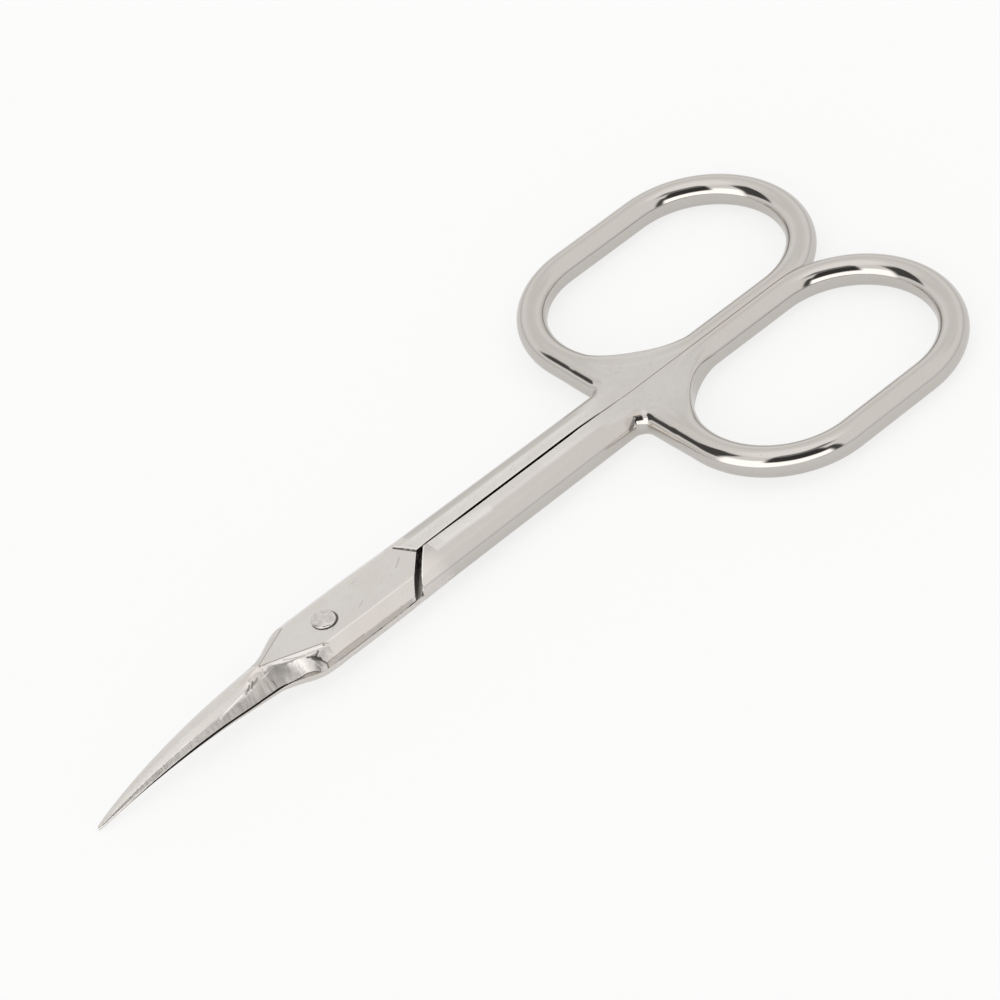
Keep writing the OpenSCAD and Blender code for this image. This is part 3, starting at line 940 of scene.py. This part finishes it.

# %% [markdown]
# Where two cuts meet on a small forging, the corner shows as a thin line. The dark lines are painted shade
# where they lie in a step or in the seam between the halves, and elsewhere they are darker corners, nicks
# and deeper scratches. The white lines are painted highlights on rounded edges, and one broad one is a
# painted light patch.
# They are drawn with the line effect from point to point in plan. Some lie on the outer side of the half,
# and some on the side of the lower half that shows past the upper one.

# %% Thin lines at the corners of the cuts
OUTER_LINES = [
    # Long edge of the panel, and the edge of its shoulder: painted highlights
    ((-1.55, -2.17), (8.1, -2.17), 0.06, 0.28, PAINTED_HIGHLIGHT), ((10.33, -0.08), (7.1, -3.3), 0.07, 0.9, PAINTED_HIGHLIGHT),
    # Step where the panel's cutter stopped: painted shade in the step, with a painted highlight on its lip
    ((9.42, 1.8), (10.42, -0.18), 0.15, 0.95, DARK_NICK_AND_SHADE), ((9.62, 1.9), (10.6, -0.03), 0.09, 0.7, PAINTED_HIGHLIGHT),
    # Front edges of the panel, which meet in its point: dark lines, each with a painted highlight beside it
    ((-1.75, -2.04), (-6.94, 0.27), 0.075, 0.75, SMUDGE), ((-1.9, -2.25), (-6.0, -0.4), 0.06, 0.35, PAINTED_HIGHLIGHT),
    ((-2.85, 2.13), (-6.9, 0.33), 0.075, 0.6, SMUDGE), ((-3.1, 2.3), (-6.9, 0.6), 0.06, 0.3, PAINTED_HIGHLIGHT),
    # Corner at the heel, where bevel, slope and wheel cut meet: dark lines at the corner, and painted shade
    # along the seam between the halves
    ((-5.2, -0.72), (-3.6, -1.8), 0.06, 0.5, SMUDGE), ((-3.05, -2.42), (-3.62, -1.98), 0.11, 0.85, DARK_NICK_AND_SHADE),
    ((-3.05, -2.42), (-2.6, -2.22), 0.12, 0.8, DARK_NICK_AND_SHADE), ((-3.1, -2.4), (-2.68, -3.3), 0.11, 0.8, DARK_NICK_AND_SHADE),
    ((-3.3, -2.35), (-2.9, -2.75), 0.22, 0.8, DARK_NICK_AND_SHADE), ((-2.9, -2.3), (-3.3, -2.15), 0.12, 0.6, DARK_NICK_AND_SHADE),
    ((-4.5, -2.65), (-3.3, -2.95), 0.4, 0.35, SMUDGE), ((-4.75, -2.36), (-3.5, -2.95), 0.08, 0.9, DARK_NICK_AND_SHADE),
    ((-3.8, -2.9), (-3.6, -3.4), 0.08, 0.8, DARK_NICK_AND_SHADE),
    # Lower edge of the bevel
    ((-2.6, -3.3), (6.8, -3.3), 0.13, 0.4, BROWN), ((-2.6, -3.22), (1.5, -3.22), 0.07, 0.45, BROWN),
    # Ridge of the blade: a painted highlight along it, nicks between it and the panel's point, and a painted
    # highlight in front of the point
    ((-9.75, -0.7), (-12.5, -1.02), 0.12, 0.9, PAINTED_HIGHLIGHT), ((-9.45, -0.85), (-9.05, -0.6), 0.1, 0.7, SMUDGE),
    ((-9.1, -0.72), (-8.7, -0.42), 0.12, 0.7, DARK_NICK_AND_SHADE), ((-8.75, -0.75), (-8.3, -0.4), 0.13, 0.75, DARK_NICK_AND_SHADE),
    ((-8.35, -0.62), (-7.8, -0.4), 0.11, 0.7, SMUDGE), ((-9.3, -0.62), (-8.0, -0.56), 0.2, 0.35, SMUDGE),
    ((-7.5, -0.62), (-6.2, -0.5), 0.07, 0.5, PAINTED_HIGHLIGHT),
    # Deeper scratches on the panel
    ((9.02, 0.58), (7.95, -0.19), 0.04, 0.6, SMUDGE), ((4.9, 1.55), (4.3, 1.4), 0.03, 0.5, SMUDGE),
    ((2.9, -1.2), (3.6, -0.9), 0.035, 0.5, SMUDGE), ((-0.4, -1.55), (0.2, -1.2), 0.035, 0.45, SMUDGE)]
LOWER_LINES = [
    # Edge of the shoulder, and the patch behind it: painted highlights
    ((11.25, 0.05), (8.05, 3.25), 0.07, 0.9, PAINTED_HIGHLIGHT), ((13.0, 0.75), (17.5, 1.1), 0.7, 0.35, PAINTED_HIGHLIGHT),
    # Scoop next to the ring: a darker brown inside and a dark line, with a painted highlight on its rim
    ((32.7, 2.75), (33.7, 2.5), 0.7, 0.3, BROWN), ((32.4, 2.95), (33.2, 2.65), 0.2, 0.7, DARK_NICK_AND_SHADE),
    ((32.6, 3.0), (33.7, 2.75), 0.09, 0.6, PAINTED_HIGHLIGHT)]
# Inner edge of the shank, on the upper and on the lower half: painted highlights
UPPER_SHANK_EDGE = [((10.7, 0.14), (30.0, 0.2), 0.05, 0.5, PAINTED_HIGHLIGHT)]
LOWER_SHANK_EDGE = [((11.6, 0.16), (30.0, 0.24), 0.06, 0.6, PAINTED_HIGHLIGHT)]
outer = calc(steel, "MULTIPLY", fade(steel, h_mm, 0.0, 0.05), fade(steel, rough_and_shade, 0.1, 0.3, 1.0, 0.0))
for side, rows in ((outer, OUTER_LINES), (fade(steel, h_mm, 1.3, 1.4), UPPER_SHANK_EDGE),
                   (fade(steel, h_mm, -1.3, -1.4), LOWER_SHANK_EDGE),
                   (fade(steel, h_mm, -0.35, -0.5), LOWER_LINES)):
    colour = draw(steel, place, colour, side, rows)
print("lines drawn:", len(OUTER_LINES) + len(LOWER_LINES) + len(UPPER_SHANK_EDGE) + len(LOWER_SHANK_EDGE))

# %% [markdown]
# A painted shadow makes a dark crescent round the screw head, wider on one side, which a small ball set a
# little off the pivot gives. The inner faces and the shoulders are painted darker than the polished steel,
# with mottles, as painted shade in the gaps between the halves and at the shoulders. They are rougher too,
# because no wheel reached them after the cutter.

# %% Painted shadow round the screw, and painted shade on the rough faces
CRESCENT_AT, CRESCENT_R, CRESCENT_END = (0.08, -0.07, 1.5), 1.08, 1.2
# Painted shadow: a dark crescent round the screw head.
off_screw = vector(steel, "DISTANCE", place, CRESCENT_AT)[1]
colour = blend(steel, fade(steel, off_screw, CRESCENT_R, CRESCENT_END, 0.95, 0.0), colour, DARK_NICK_AND_SHADE)
# Painted shade: the inner faces and shoulders are made darker, with mottles.
mottle = fade(steel, noise(steel, place, 2.4), 0.6, 0.7, 1.0, 0.55)
colour = blend(steel, calc(steel, "MULTIPLY", rough_and_shade, mottle), colour, GAP_SHADE)
steel.links.new(colour, shader.inputs["Base Color"])
print("nodes for the colour:", len(steel.nodes))

# %% [markdown]
# Roughness follows the finish too: the round bars are nearly mirrors, lapped faces are a little softer,
# ground cuts are satin and rough faces are dull. The relief is a few thousandths of a millimetre: the slow
# ripple of hand polishing, the scratches on the level faces and the lines of the wheel.

# %% Polish and relief of the plated steel
MIRROR, RIPPLE, RELIEF_DEPTH = 0.07, 1.3, 0.02 * MM
rough = MIRROR
for share, softer in ((level, 0.15), (ground, 0.25), (rough_and_shade, 0.4), (fade(steel, tone, 0.4, 0.7), 0.03)):
    rough = calc(steel, "ADD", rough, calc(steel, "MULTIPLY", share, softer))
steel.links.new(rough, shader.inputs["Roughness"])
relief = calc(steel, "MULTIPLY", noise(steel, place, 0.5, 1.0), RIPPLE)
for marks, where, deep in ((scratch["Height"], level, 0.5), (lines["Height"], ground, 2.2)):
    marks = calc(steel, "MULTIPLY", marks, where)
    relief = calc(steel, "ADD", relief, calc(steel, "MULTIPLY", marks, deep))
bump = add(steel, "ShaderNodeBump", {"Strength": 0.5, "Distance": RELIEF_DEPTH, "Height": relief}).outputs[0]
steel.links.new(bump, shader.inputs["Normal"])
shader.inputs["Metallic"].default_value = 1.0
for half in (upper, lower):
    half.data.materials.append(plated)
print("nodes of the plated steel:", len(steel.nodes))

# %% [markdown]
# The screw has seen the hammer and the wheel: its face is mottled and more scratched than the panel. It
# is a material of its own that uses the same effects with other values.

# %% Screw steel
SCREW_LIGHT, SCREW_DARK = (0.72, 0.69, 0.66, 1.0), (0.60, 0.57, 0.54, 1.0)
SCREW_SCRATCH, SCREW_SPECK = (0.33, 0.31, 0.29, 1.0), (0.25, 0.23, 0.21, 1.0)
SCREW_RELIEF = 0.03 * MM
turned_steel = bpy.data.materials.new("screw_steel")
turned_steel.use_nodes = True
bolt = turned_steel.node_tree
shader = bolt.nodes["Principled BSDF"]
place = add(bolt, "ShaderNodeAttribute", attribute_name="place_mm").outputs["Vector"]
mottle = noise(bolt, place, 1.7)
scratch = group_node(bolt, scratches, {"Place": place, "Amount": 1.0})
speck = group_node(bolt, specks, {"Place": place, "Share": 1.0})
colour = blend(bolt, fade(bolt, mottle, 0.38, 0.62), SCREW_LIGHT, SCREW_DARK)
colour = blend(bolt, calc(bolt, "MULTIPLY", scratch["Mark"], 0.35), colour, SCREW_SCRATCH)
colour = blend(bolt, calc(bolt, "MULTIPLY", speck["Mask"], 0.4), colour, SCREW_SPECK)
bolt.links.new(colour, shader.inputs["Base Color"])
bolt.links.new(fade(bolt, mottle, 0.3, 0.7, 0.14, 0.34), shader.inputs["Roughness"])
relief = calc(bolt, "ADD", mottle, calc(bolt, "MULTIPLY", scratch["Height"], 0.3))
bump = add(bolt, "ShaderNodeBump", {"Strength": 0.5, "Distance": SCREW_RELIEF, "Height": relief}).outputs[0]
bolt.links.new(bump, shader.inputs["Normal"])
shader.inputs["Metallic"].default_value = 1.0
screw.data.materials.append(turned_steel)
print("nodes of the screw steel:", len(bolt.nodes))

# %% [markdown]
# Last, the colour view is set plain.

# %% Finish
bpy.context.scene.view_settings.view_transform = "Standard"
